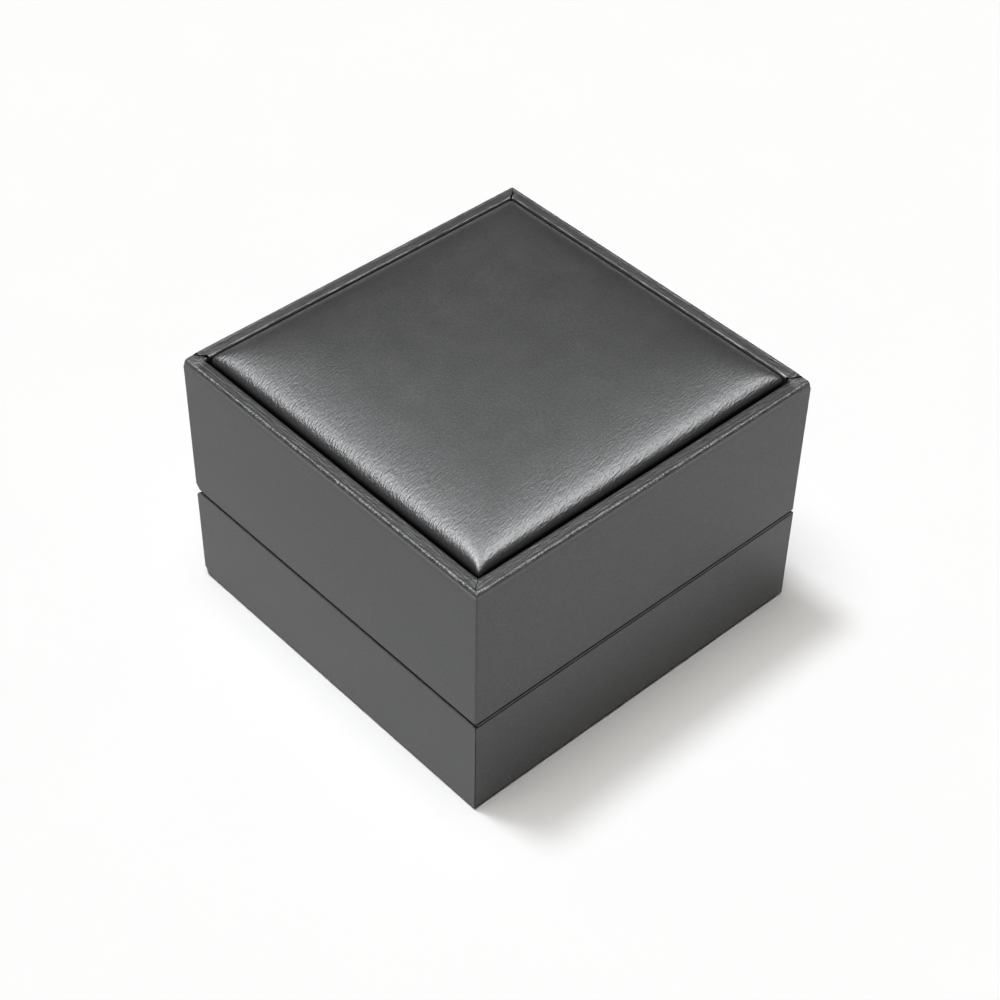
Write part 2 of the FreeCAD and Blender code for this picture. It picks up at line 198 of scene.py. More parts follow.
# %% [markdown]
# ## Leatherette
#
# The box is wrapped in a thin embossed sheet with a pearl coat. Its grain is very fine, and
# shows only where the sheet is pulled over an edge and the light glances off it. Leather grain
# could come from cells, but here it is drawn out into short streaks, so noise is stretched. The
# pearl coat is part metal, part dielectric.
#
# The sheet is used in two ways. On the walls it lies flat on board: its grain is nearly gone, the rims have
# streaks along them, the folds at the corners are crumpled, and the outer edges have beads in the bump that break
# up their highlight; through the colour the beads also add a small painted highlight. On the cushion the streaks
# lie slightly off the box's X, above the left and front edges. Down in the narrow gap between cushion and rim
# hardly any light arrives, so there the cushion's finish is mixed into dead black, which is painted shade. A real
# gap gets that from light that is caught, but a soft overhead lamp would fill it too well here.

# %% Measures of a place
def axes(paint, place):
    """X, Y and Z of a place."""
    return [paint.node("SeparateXYZ", {}, {"Vector": place}, output=axis) for axis in (0, 1, 2)]


def between(value, low, high, at_low, at_high):
    """Goes from one amount to another while the value goes from low to high, and no further."""
    limits = {"From Min": low, "From Max": high, "To Min": at_low, "To Max": at_high}
    return value.node("MapRange", {}, {"Value": value, **limits})


# %% Leatherette
sheet_grain = 0.34 * mm
sheet_speck = 0.45 * mm
sheet_mottle = 7 * mm
speck_weight = 2.6


def leatherette(name, grain_of_sheet, depth, dullness):
    """Pearl-grey sheet. The functions give the height of its grain, and how much duller it is where."""
    material, paint, shader = start_finish(name, Metallic=0.4, Specular_IOR_Level=0.6)
    place = object_place(paint)
    relief = grain_of_sheet(paint, place)
    mottle = grain(paint, place, sheet_mottle, detail=3.0)
    specks = grain(paint, place, sheet_speck) - 0.5
    shade = relief * 0.4 + mottle * 0.5 + specks * speck_weight
    feed(
        paint, shader,
        Base_Color=shade_between(paint, shade, (0.052, 0.0535, 0.055), (0.077, 0.079, 0.081)),
        Roughness=mottle * 0.06 + relief * 0.06 + 0.28 + dullness(paint, place),
        Normal=bump(paint, relief, depth),
    )
    return material


def streaks(paint, place, width):
    """Noise that becomes streaks where the place is squeezed in one direction."""
    inputs = {"Vector": place, "Scale": 1 / width, "Detail": 1.0, "Roughness": 0.5, "Distortion": 0.1}
    return paint.node("TexNoise", {}, inputs)


# %% The grain of the cushion's cover
cover_streak = 0.33 * mm
cover_squeeze = 0.22
cover_slant = 0.26
cover_bend = 0.8
pull_starts = -22 * mm
pull_is_full = -36 * mm
unpulled = 0.08
point_starts = -76 * mm
point_ends = -66 * mm
weaker_from = rim_top + 0.5 * mm
weakest_at = rim_top - 0.5 * mm


def cushion_grain(paint, place):
    """A fine grain, and short streaks where the cover is pulled over the left and front edges."""
    x, y, z = axes(paint, place)
    across = y - x * cover_slant + x * x * cover_bend
    along = paint.node("CombineXYZ", {}, {"X": x * cover_squeeze, "Y": across, "Z": z})
    to_left = between(x, pull_starts, pull_is_full, unpulled, 1.0)
    to_front = between(y, pull_starts, pull_is_full, unpulled, 0.7)
    pulled = x.maths("MAXIMUM", to_left, to_front)
    smooth_point = between(x + y, point_starts, point_ends, 0.35, 1.0)
    drawn = streaks(paint, along, cover_streak) * pulled * smooth_point
    weaker_below = between(z, weakest_at, weaker_from, 0.5, 1.0)
    return (drawn * 1.3 + grain(paint, place, sheet_grain) * 0.45) * weaker_below


def no_duller(paint, place):
    return 0.0


# %% The grain of the strip round the walls and over the rim
rim_starts = rim_top - 2.4 * mm
rim_is_full = rim_top - 1.1 * mm
rim_streak = 0.4 * mm
rim_squeeze = 0.15
crumple = 0.8 * mm
crumple_starts = half_width - 4.4 * mm
crumple_is_full = half_width - 3 * mm
side_change = 0.0005  # x * y, in square metres, where one side's look has become the other's
bead_size = 0.45 * mm
beads_start = half_width - 1.1 * mm
beads_are_full = half_width - 0.5 * mm


def duller_walls(paint, place):
    """The walls are rubbed a little duller than the rim."""
    return between(axes(paint, place)[2], rim_starts, rim_is_full, 0.08, 0.0)


def strip_grain(paint, place):
    """Streaks along each rim, crumpled folds at the corners, beads on the outer edges, fine grain on the walls."""
    x, y, z = axes(paint, place)
    off_x = x.maths("ABSOLUTE", x)
    off_y = y.maths("ABSOLUTE", y) + (half_width - half_depth)
    beside = x.maths("GREATER_THAN", off_x, off_y)
    lengthwise = x + (y - x) * beside
    crosswise = y + (x - y) * beside
    along = paint.node("CombineXYZ", {}, {"X": lengthwise * rim_squeeze, "Y": crosswise, "Z": z})
    on_rim = between(z, rim_starts, rim_is_full, 0.0, 1.0)
    nearer = x.maths("MINIMUM", off_x, off_y)
    near_corner = between(nearer, crumple_starts, crumple_is_full, 0.0, 1.0)
    left_and_right = between(x * y, -side_change, side_change, 1.0, 0.3)
    crumpled = grain(paint, place, crumple, detail=3.0, roughness=0.7) * near_corner * left_and_right
    further = x.maths("MAXIMUM", off_x, off_y)
    outer_edge = between(further, beads_start, beads_are_full, 0.0, 1.0)
    upper_edge = between(z, rim_top - 1.0 * mm, rim_top - 0.4 * mm, 0.0, 1.0)
    # Beads in the bump along the outer upper edge; through the colour they also give a small painted highlight.
    edge_beads = grain(paint, place, bead_size) * outer_edge * upper_edge
    on_the_rim = streaks(paint, along, rim_streak) * 0.8 + crumpled * 3.0 + edge_beads * 2.0 - 0.7
    return on_the_rim * on_rim + grain(paint, place, sheet_grain) * 0.4


# %% Painted shade: dead black in the gap round the cushion
gap_is_lit = rim_top
gap_is_black = rim_top - 1.1 * mm


def black_below(material, low, high):
    """Lets a finish go over into dead black between two heights: painted shade, as down in a deep, narrow gap."""
    paint = Paint(material.node_tree)
    z = axes(paint, object_place(paint))[2]
    lit = Paint(paint.tree, material.node_tree.nodes["Principled BSDF"].outputs[0])
    # Painted shade: a near-black diffuse shader, mixed in low down in the gap.
    dark = paint.node("BsdfDiffuse", {}, {"Color": (0.003, 0.003, 0.003, 1)})
    mixed = paint.node("MixShader", {}, {0: between(z, low, high, 0.93, 0.0), 1: lit, 2: dark})
    paint.tree.links.new(mixed.socket, material.node_tree.nodes["Material Output"].inputs["Surface"])
    return material


# %% Painted shade: a near-black finish for the backs and cut edges of sheets
def black_backing():
    material, paint, shader = start_finish("black_backing", Roughness=1.0, Specular_IOR_Level=0.05)
    weave = grain(paint, object_place(paint), 0.3 * mm, detail=2.0)
    # Near-black painted shade, for the slits and the cut edges of the folds.
    colour = shade_between(paint, weave, (0.003, 0.003, 0.003), (0.009, 0.009, 0.009))
    feed(paint, shader, Base_Color=colour, Normal=bump(paint, weave, 0.02 * mm))
    return material


# %% [markdown]
# ## Cloths and boards
#
# Velvet is a short pile: nearly black, with a pale sheen at a slant and paler patches where a finger has brushed
# it. Sheen is a constant on the shader, so the patches come from the bump and from the base colour, where they are
# painted sheen. Felt is the same idea with coarser fibres and less sheen. Satin shows its weave. Grey board is
# pressed waste paper, so it has flecks.

# %% Velvet and felt
def velvet():
    material, paint, shader = start_finish(
        "velvet", Roughness=0.95, Sheen_Weight=0.7, Sheen_Roughness=0.35, Specular_IOR_Level=0.15,
    )
    place = object_place(paint)
    brushed = grain(paint, place, 9 * mm, detail=2.0)
    pile = grain(paint, place, 0.25 * mm, detail=3.0, roughness=0.7)
    # The paler brushed patches in this colour are painted sheen.
    colour = shade_between(paint, brushed * 0.7 + pile * 0.3, (0.010, 0.010, 0.011), (0.032, 0.032, 0.035))
    feed(paint, shader, Base_Color=colour, Normal=bump(paint, pile + brushed * 0.6, 0.12 * mm))
    return material


def felt():
    material, paint, shader = start_finish(
        "felt", Roughness=1.0, Sheen_Weight=0.3, Sheen_Roughness=0.5, Specular_IOR_Level=0.1,
    )
    fibres = grain(paint, object_place(paint), 0.5 * mm, detail=5.0, roughness=0.75)
    colour = shade_between(paint, fibres, (0.012, 0.012, 0.012), (0.034, 0.034, 0.036))
    feed(paint, shader, Base_Color=colour, Normal=bump(paint, fibres, 0.15 * mm))
    return material


# %% Satin and foam
wave_repeat = 0.314
satin_thread = 0.22 * mm


def threads(paint, place, direction, pitch):
    """A wave for each thread. A wave texture of scale 1 repeats every wave_repeat metres."""
    inputs = {"Vector": place, "Scale": wave_repeat / pitch, "Distortion": 0.4}
    return paint.node("TexWave", {"bands_direction": direction}, inputs)


def satin():
    material, paint, shader = start_finish(
        "satin", Roughness=0.32, Specular_IOR_Level=0.6, Sheen_Weight=0.25, Anisotropic=0.4,
    )
    place = object_place(paint)
    warp = threads(paint, place, "X", satin_thread)
    weft = threads(paint, place, "Y", 2 * satin_thread)
    slubs = grain(paint, place, 3 * mm, detail=3.0)
    colour = shade_between(paint, warp * 0.4 + slubs * 0.6, (0.075, 0.076, 0.080), (0.125, 0.126, 0.132))
    feed(paint, shader, Base_Color=colour, Normal=bump(paint, warp + weft * 0.5, 0.03 * mm))
    return material


def foam():
    material, paint, shader = start_finish("foam", Roughness=0.95, Subsurface_Weight=0.1)
    cells = paint.node("TexVoronoi", {}, {"Vector": object_place(paint), "Scale": 1 / (0.6 * mm)})
    colour = shade_between(paint, cells, (0.26, 0.26, 0.25), (0.50, 0.50, 0.48))
    feed(paint, shader, Base_Color=colour, Normal=bump(paint, cells, 0.2 * mm))
    return material


# %% Grey board and lining paper
def greyboard():
    material, paint, shader = start_finish("greyboard", Roughness=0.9, Specular_IOR_Level=0.25)
    place = object_place(paint)
    pulp = grain(paint, place, 0.8 * mm, detail=6.0, roughness=0.7)
    flecks = grain(paint, place, 0.35 * mm, detail=1.0)
    colour = shade_between(paint, pulp * 0.7 + flecks * 0.3, (0.17, 0.165, 0.15), (0.38, 0.37, 0.345))
    feed(paint, shader, Base_Color=colour, Normal=bump(paint, pulp, 0.06 * mm))
    return material


def lining_paper():
    material, paint, shader = start_finish("lining_paper", Roughness=0.6, Specular_IOR_Level=0.4)
    place = object_place(paint)
    fibres = grain(paint, place, 0.3 * mm, detail=5.0, roughness=0.65)
    clouds = grain(paint, place, 6 * mm, detail=2.0)
    colour = shade_between(paint, fibres * 0.6 + clouds * 0.4, (0.026, 0.027, 0.028), (0.045, 0.046, 0.049))
    relief = bump(paint, fibres, 0.03 * mm)
    feed(paint, shader, Base_Color=colour, Roughness=fibres * 0.2 + 0.5, Normal=relief)
    return material


# %% [markdown]
# ## Metals
#
# The hinges and the catch plate are nickel plated and brushed along X, and the magnets are
# plated discs with a finer, rounder wear. Both are full metals whose roughness varies.

# %% Nickel and magnet plating
plating_relief = 0.004 * mm
brushed_length = 12.0


def nickel():
    material, paint, shader = start_finish("nickel", Metallic=1.0)
    place = object_place(paint)
    stretch = {"Vector": place, "Scale": (brushed_length, 1, 1)}
    brushing = paint.node("Mapping", {"vector_type": "TEXTURE"}, stretch)
    lines = grain(paint, brushing, 0.12 * mm, detail=3.0)
    tarnish = grain(paint, place, 2.5 * mm, detail=3.0)
    colour = shade_between(paint, tarnish, (0.47, 0.46, 0.44), (0.62, 0.61, 0.59))
    roughness = lines * 0.25 + tarnish * 0.1 + 0.15
    feed(paint, shader, Base_Color=colour, Roughness=roughness, Normal=bump(paint, lines, plating_relief))
    return material


def magnet_plating():
    material, paint, shader = start_finish("magnet_plating", Metallic=1.0)
    place = object_place(paint)
    scuffs = grain(paint, place, 0.4 * mm, detail=4.0)
    colour = shade_between(paint, scuffs, (0.52, 0.52, 0.53), (0.68, 0.68, 0.69))
    relief = bump(paint, scuffs, plating_relief)
    feed(paint, shader, Base_Color=colour, Roughness=scuffs * 0.25 + 0.1, Normal=relief)
    return material


# %% One material for each slot of the record
grain_depth = 0.09 * mm
cushion_cover = leatherette("leatherette_on_foam", cushion_grain, grain_depth, no_duller)
finishes = {
    "leatherette": leatherette("leatherette", strip_grain, grain_depth, duller_walls),
    # The cushion's finish carries painted shade low down in the gap round it.
    "leatherette on foam": black_below(cushion_cover, gap_is_black, gap_is_lit),
    "painted shade black": black_backing(),
    "greyboard": greyboard(),
    "lining_paper": lining_paper(),
    "velvet": velvet(),
    "satin": satin(),
    "felt": felt(),
    "foam": foam(),
    "steel": nickel(),
    "magnet": magnet_plating(),
}


def coat(piece, slot):
    """Gives a piece the finish of a slot, as its only material."""
    piece.data.materials.clear()
    piece.data.materials.append(finishes[slot])


for part in frame["record"]["subparts"]:
    coat(nodes[part["node"]], part["material_slot"])
print("finishes:", ", ".join(finishes))

# %% [markdown]
# ## Hands for modelling
#
# The pieces are modelled as by hand: a primitive is added at its size, and edit mode shapes it.
# An operator works on whatever is selected, so these helpers put everything down first and then
# pick vertices, edges or faces by where they are.

# %% Picking things up and putting them down
def put_down():
    """Leaves edit mode and selects nothing."""
    if bpy.context.object and bpy.context.object.mode == "EDIT":
        bpy.ops.object.mode_set(mode="OBJECT")
    bpy.ops.object.select_all(action="DESELECT")


def take(piece):
    """Makes a piece the one selected and active object."""
    put_down()
    piece.select_set(True)
    bpy.context.view_layer.objects.active = piece


def edit(piece, kind="FACE"):
    """Opens a piece in edit mode."""
    take(piece)
    bpy.ops.object.mode_set(mode="EDIT")
    bpy.ops.mesh.select_mode(type=kind)


def middle(part):
    """Where a vertex, or the middle of an edge or a face, is."""
    if isinstance(part, bmesh.types.BMVert):
        return part.co
    corners = [vertex.co for vertex in part.verts]
    return sum(corners, Vector()) / len(corners)


def pick(kind, wanted):
    """Selects, in edit mode, the VERTs, EDGEs or FACEs that pass the test."""
    bpy.ops.mesh.select_mode(type=kind)
    bpy.ops.mesh.select_all(action="DESELECT")
    mesh = bmesh.from_edit_mesh(bpy.context.object.data)
    parts = {"VERT": mesh.verts, "EDGE": mesh.edges, "FACE": mesh.faces}[kind]
    for part in parts:
        if wanted(part):
            part.select_set(True)
    mesh.select_flush_mode()
    bmesh.update_edit_mesh(bpy.context.object.data)


# %% A block, and rounded edges
def block(name, low, high):
    """A cube primitive between two corners, with its place in its mesh."""
    put_down()
    low, high = Vector(low), Vector(high)
    bpy.ops.mesh.primitive_cube_add(size=1, location=(low + high) / 2)
    piece = bpy.context.object
    piece.scale = high - low
    piece.name = name
    bpy.ops.object.transform_apply(location=True, rotation=True, scale=True)
    return piece


def upright(edge):
    """Whether an edge rises more than it runs."""
    across = edge.verts[0].co - edge.verts[1].co
    return abs(across.z) > abs(across.x) + abs(across.y)


def round_off(radius, segments, wanted):
    """Bevels the edges that pass the test."""
    pick("EDGE", wanted)
    bpy.ops.mesh.bevel(offset=radius, segments=segments, profile=0.5, affect="EDGES", clamp_overlap=False)


# %% Finishing with modifiers
def finish_with(piece, kind, **settings):
    """Adds one modifier and applies it."""
    take(piece)
    modifier = piece.modifiers.new(kind.lower(), kind)
    for name, value in settings.items():
        setattr(modifier, name, value)
    bpy.ops.object.modifier_apply(modifier=modifier.name)


def smooth(piece, angle=40):
    """Smooth shading that leaves large flat faces flat, up to their rounded edges."""
    take(piece)
    bpy.ops.object.shade_smooth_by_angle(angle=math.radians(angle))
    finish_with(piece, "WEIGHTED_NORMAL", keep_sharp=True)
    put_down()


def carve(piece, cutter):
    """Cuts one piece's shape out of another and throws the cutter away."""
    finish_with(piece, "BOOLEAN", operation="DIFFERENCE", object=cutter, solver="EXACT")
    bpy.data.objects.remove(cutter)


# %% [markdown]
# ## The lid's wrap
#
# On the real lid one strip of leatherette goes round the four walls. Its upper edge is folded
# over the rim and glued down inside, and at each corner the folds have to meet. Two corners are
# mitred. At the other two the fold of one wall is lapped over its neighbour, is trimmed at a
# slant and stands up a little, so a dark slit shows. A box with bevelled edges would miss all of
# that. So the walls start as a cube without lid or floor, the rim grows out of them ring by
# ring, and the corners are then slit and lifted like paper.

# %% Growing a wall ring by ring
level_slack = 0.01 * mm


def climb(half_x, half_y, rings):
    """Extrudes the selected loop through (inset, height) rings. Each ring is the last one scaled in."""
    inset, height = rings[0]
    for next_inset, next_height in rings[1:]:
        bpy.ops.mesh.extrude_region()
        bpy.ops.transform.translate(value=(0, 0, next_height - height))
        scale_x = (half_x - next_inset) / (half_x - inset)
        scale_y = (half_y - next_inset) / (half_y - inset)
        bpy.ops.transform.resize(value=(scale_x, scale_y, 1), center_override=(0, 0, 0))
        inset, height = next_inset, next_height


def turn_in(radius, inset, height, rise, segments=5):
    """Rings of a quarter round that leaves an upright wall and ends level."""
    steps = [math.radians(90 * step / segments) for step in range(segments + 1)]
    return [(inset + radius * (1 - math.cos(a)), height + rise * radius * math.sin(a)) for a in steps]


def turn_down(radius, inset, height, segments=4):
    """Rings of a quarter round that leaves a level rim and ends upright, going down."""
    steps = [math.radians(90 * step / segments) for step in range(segments + 1)]
    return [(inset + radius * math.sin(a), height - radius * (1 - math.cos(a))) for a in steps]


# %% Four walls with rounded corners
def round_corners(radius, segments, diagonal):
    """Rounds two opposite upright edges: diagonal is 1 where x * y is above 0, and -1 where it is below."""

    def on_diagonal(edge):
        return upright(edge) and middle(edge).x * middle(edge).y * diagonal > 0

    round_off(radius, segments, on_diagonal)


def open_box(name, low, high, tight, wide):
    """Four walls without lid or floor. Corners with x * y above 0 are tight, the other two wide."""
    piece = block(name, low, high)
    edit(piece)
    pick("FACE", lambda face: abs(face.normal.z) > 0.5)
    bpy.ops.mesh.delete(type="ONLY_FACE")
    round_corners(tight, 4, 1)
    round_corners(wide, 6, -1)
    return piece


def level_edge(height):
    """A test for edges that lie at a height."""
    return lambda edge: all(abs(vertex.co.z - height) < level_slack for vertex in edge.verts)


# %% The lid's walls, with the rim folded over them
rim_round = 0.8 * mm
rim_inner_round = 0.6 * mm
fold_round = 0.2 * mm
side_corner_round = 0.5 * mm
front_corner_round = 0.35 * mm
ring_step = 0.5 * mm
rim_middle = 1.6 * mm
lid_low = wrap_low.z
lip_foot = lid_low + fold_round
walls_top = rim_top - 2.4 * mm
rim_foot = rim_top - rim_round
lip_ring = rim_top - 1.5 * mm
rim_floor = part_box("lid_top_board")[1].z
lid_wrap = open_box(
    "lid_wrap_folded", (-half_width, -half_depth, lip_foot), (half_width, half_depth, walls_top),
    front_corner_round, side_corner_round,
)
pick("EDGE", level_edge(walls_top))
over_the_rim = [(0, walls_top + step * ring_step) for step in range(3)]
over_the_rim += turn_in(rim_round, 0, rim_foot, 1)
over_the_rim += [(rim_middle, rim_top)]
over_the_rim += turn_down(rim_inner_round, rim - rim_inner_round, rim_top)
over_the_rim += [(rim, lip_ring), (rim, rim_floor)]
climb(half_width, half_depth, over_the_rim)
pick("EDGE", level_edge(lip_foot))
climb(half_width, half_depth, turn_in(fold_round, 0, lip_foot, -1, 3) + [(wall, lid_low)])
print("lid wrap:", len(lid_wrap.data.vertices), "vertices")

# %% [markdown]
# ## The rim's corners
#
# The camera looks at the box over one corner, so the corners are called front, left, right and
# back. A corner is drawn in its own two directions: along one wall, whose fold is the far one,
# beyond the slit, and into the box. The slit is found by cutting the rim with upright planes, the
# edges on it are split, and the far fold's edge is swung away so that the slit opens like a
# wedge. Then this edge is pulled up and the near one pushed down softly, with proportional
# editing that follows the surface. The corner itself is thick with folded sheet, so its points
# are drawn onto a small ball. Where two folds meet in a mitre, a narrow slit that bows a little
# is enough.

# %% Cuts across the rim, to give the corners enough points
nearest = 1e-7  # points this close to a cut count as lying on it
fold_end = 5.5 * mm
cuts_from_side = (1.1 * mm, 2.9 * mm, fold_end, 8 * mm, 12 * mm, 20 * mm)


def above_walls(face):
    return middle(face).z > rim_foot


def cut_through(place, normal, wanted):
    """Cuts the faces that pass the test with a plane, and leaves both halves."""
    pick("FACE", wanted)
    bpy.ops.mesh.bisect(plane_co=place, plane_no=normal, threshold=nearest)


for from_side in cuts_from_side:
    for side in (-1, 1):
        cut_through((side * (half_width - from_side), 0, 0), (1, 0, 0), above_walls)
        cut_through((0, side * (half_depth - from_side), 0), (0, 1, 0), above_walls)
print("rim cut at", len(cuts_from_side), "distances from each side")


# %% A corner's own directions
class Corner:
    """A rim corner, measured along the wall of the far fold and into the box."""

    def __init__(self, side_x, side_y, along, inward):
        self.place = Vector((side_x * half_width, side_y * half_depth, 0))
        self.along = Vector(along)
        self.inward = Vector(inward)

    def at(self, along, inward, height=0.0):
        return self.place + self.along * along + self.inward * inward + Vector((0, 0, height))

    def measure(self, place):
        from_corner = Vector((place.x, place.y, 0)) - self.place
        return from_corner.dot(self.along), from_corner.dot(self.inward)


corner_left = Corner(-1, 1, (1, 0, 0), (0, -1, 0))
corner_right = Corner(1, -1, (0, 1, 0), (-1, 0, 0))
corner_front = Corner(-1, -1, (0, 1, 0), (1, 0, 0))
corner_back = Corner(1, 1, (0, -1, 0), (-1, 0, 0))
print("left corner at", [round(value / mm, 2) for value in corner_left.place[:2]], "mm")


# %% Lifting a fold, and drawing a corner's tip onto a ball
def lift_fold(height, reach, wanted):
    """Raises some vertices, and softly what is joined to them within reach."""
    pick("VERT", wanted)
    bpy.ops.transform.translate(
        value=(0, 0, height), use_proportional_edit=True, use_proportional_connected=True,
        proportional_edit_falloff="LINEAR", proportional_size=reach,
    )


tip_round = 1.15 * mm
tip_depth = 1.9 * mm


def round_tip(corner, tip, inwards):
    """Pulls a corner's points onto a ball, and less and less the further they are from its tip."""
    piece = bmesh.from_edit_mesh(bpy.context.object.data)
    for vertex in piece.verts:
        depth = (vertex.co.z - tip) * inwards
        if max(corner.measure(vertex.co)) < tip_round and depth < tip_depth:
            ball = corner.at(tip_round, tip_round, tip + inwards * max(tip_round, depth))
            off = vertex.co - ball
            share = min(1.0, (tip_depth - depth) / (tip_depth - tip_round))
            vertex.co -= off * max(0.0, 1 - tip_round / off.length) * share
    bmesh.update_edit_mesh(bpy.context.object.data)


# %% A corner where one fold is lapped over the other
slit_least = 0.62 * mm
slit_end = 6 * mm
on_line = 0.004 * mm  # how far from the slit's line a point may lie and still be on it
lift_reach = 2.5 * mm
press_reach = 3.0 * mm


def lapped_corner(corner, slit_start, slit_bend, opening, lift):
    """Slits the rim from slit_start on the outer edge to slit_bend and on into the box."""
    bend_along, bend_inward = slit_bend
    start, bend = corner.at(slit_start, 0), corner.at(*slit_bend)
    slit_way = (bend - start).normalized()
    slit_normal = Vector((slit_way.y, -slit_way.x, 0))

    def in_corner(face):
        along, inward = corner.measure(middle(face))
        return above_walls(face) and along < fold_end and inward < fold_end

    def before_bend(face):
        return in_corner(face) and corner.measure(middle(face))[0] < bend_along

    def on_slit(vertex):
        along, inward = corner.measure(vertex.co)
        if inward > slit_end or along > slit_end or vertex.co.z < rim_foot - on_line:
            return False
        if along > bend_along - on_line:
            return abs(along - bend_along) < on_line and inward > bend_inward - on_line
        return abs((vertex.co - start).dot(slit_normal)) < on_line

    def beyond_slit(face):
        along, inward = corner.measure(middle(face))
        if inward > bend_inward:
            return along > bend_along
        return (middle(face) - start).dot(slit_normal) * corner.along.dot(slit_normal) > 0

    def far_edge(vertex):
        return on_slit(vertex) and vertex.link_faces and all(map(beyond_slit, vertex.link_faces))

    def far_edge_to_bend(vertex):
        return far_edge(vertex) and corner.measure(vertex.co)[1] < bend_inward - on_line

    def near_edge(vertex):
        return on_slit(vertex) and vertex.link_faces and not any(map(beyond_slit, vertex.link_faces))

    cut_through(bend, corner.along, in_corner)
    cut_through(bend, slit_normal, before_bend)
    pick("EDGE", lambda edge: all(map(on_slit, edge.verts)))
    bpy.ops.mesh.edge_split(type="EDGE")
    pick("VERT", far_edge_to_bend)
    widen = [1 - (opening / (bend_along - slit_start)) * abs(value) for value in corner.along]
    bpy.ops.transform.resize(value=widen, center_override=bend)
    pick("VERT", far_edge)
    bpy.ops.transform.translate(value=corner.along * slit_least)
    lift_fold(lift, lift_reach, far_edge)
    lift_fold(-lift, press_reach, near_edge)
    round_tip(corner, rim_top, -1)


lapped_corner(corner_left, 2.0 * mm, (3.9 * mm, 2.5 * mm), opening=0.55 * mm, lift=0.2 * mm)
lapped_corner(corner_right, 1.9 * mm, (3.8 * mm, 2.9 * mm), opening=0.6 * mm, lift=0.2 * mm)


# %% A corner where the folds meet at 45 degrees
mitre_start = 0.3 * mm
mitre_slack = 0.03 * mm
bow_starts = 1.2 * mm
bow_ends = 2.2 * mm
bow_reach = 1.8 * mm


def mitred_corner(corner, opening, lift, bow):
    """Slits the rim along its mitre, which bows sideways. The far fold lies a little lower."""

    def on_mitre(vertex):
        along, inward = corner.measure(vertex.co)
        on_diagonal = abs(along - inward) < mitre_slack
        return mitre_start < along < slit_end and on_diagonal and vertex.co.z > rim_foot

    def in_far_fold(face):
        along, inward = corner.measure(middle(face))
        return along > inward

    def far_edge(vertex):
        return on_mitre(vertex) and vertex.link_faces and all(map(in_far_fold, vertex.link_faces))

    def near_edge(vertex):
        return on_mitre(vertex) and vertex.link_faces and not any(map(in_far_fold, vertex.link_faces))

    def halfway(vertex):
        along, inward = corner.measure(vertex.co)
        return bow_starts < inward < bow_ends and abs(along - inward) < opening + mitre_slack

    pick("EDGE", lambda edge: all(map(on_mitre, edge.verts)))
    bpy.ops.mesh.edge_split(type="EDGE")
    pick("VERT", far_edge)
    bpy.ops.transform.translate(value=corner.along * opening + Vector((0, 0, -0.5 * lift)))
    lift_fold(lift, lift_reach, near_edge)
    pick("VERT", halfway)
    bpy.ops.transform.translate(
        value=(corner.along - corner.inward) * bow, use_proportional_edit=True,
        proportional_edit_falloff="SMOOTH", proportional_size=bow_reach,
    )


mitred_corner(corner_front, opening=0.18 * mm, lift=0.15 * mm, bow=0.2 * mm)
mitred_corner(corner_back, opening=0.18 * mm, lift=0.02 * mm, bow=0)
bpy.ops.object.mode_set(mode="OBJECT")
print("lid wrap with slits:", len(lid_wrap.data.vertices), "vertices")

# %% [markdown]
# The lid's lower back edge is bevelled, so that the lid can turn back, and the skin is cut away
# round the barrels of the two hinges. A boolean cut would stumble over the slits, so the bevel
# is a plane cut whose hole is filled, and the rooms are cut out as faces. Then the wrap gets
# its thickness inwards, and its raw edges are rounded a little.

# %% Back bevel and room for the hinges
lid_hinge = next(joint for joint in frame["joints"] if joint["name"] == "lid_hinge")
hinge_y, hinge_z = lid_hinge["pos_m"][1:]
pin_low, pin_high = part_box("hinge_pin_right")
hinge_x = (pin_low.x + pin_high.x) / 2
room_past_pin = 0.3 * mm
room_half_length = (pin_high.x - pin_low.x) / 2 + room_past_pin
barrel_room = 1.2 * mm
room_height = 2.2 * mm
room_depth = 1.5 * mm
groove_angle = math.radians(50.5)
pin_line = Vector((0, hinge_y, hinge_z))
print("hinge pins", round(hinge_y / mm, 2), "mm back and", round(hinge_z / mm, 2), "mm up")


def bevel_back(piece, upward):
    """Cuts off what lies in the groove behind the pins: upward is 1 for the lid, -1 for the base."""
    edit(piece)
    bpy.ops.mesh.select_all(action="SELECT")
    outward = (0, math.sin(groove_angle), -upward * math.cos(groove_angle))
    bpy.ops.mesh.bisect(
        plane_co=pin_line, plane_no=outward, clear_outer=True, use_fill=True, threshold=nearest,
    )


def open_hinge_rooms(piece, upward):
    """Removes the skin round the two barrels."""
    edit(piece)
    slant = Vector((0, math.cos(groove_angle), upward * math.sin(groove_angle)))

    def near_pin(face):
        off_y, off_z = middle(face).y - hinge_y, middle(face).z - hinge_z
        return level_slack < abs(off_z) < room_height and off_y > -room_depth

    for side in (-1, 1):
        for end in (-1, 1):
            cut_through((side * hinge_x + end * room_half_length, 0, 0), (1, 0, 0), near_pin)
    cut_through(pin_line + slant * barrel_room, slant, near_pin)

    def in_room(face):
        place = middle(face)
        beside = abs(abs(place.x) - hinge_x) < room_half_length
        return beside and math.hypot(place.y - hinge_y, place.z - hinge_z) < barrel_room

    pick("FACE", in_room)
    bpy.ops.mesh.delete(type="FACE")


# %% Thickness of the lid's wrap
folded_thickness = 0.42 * mm


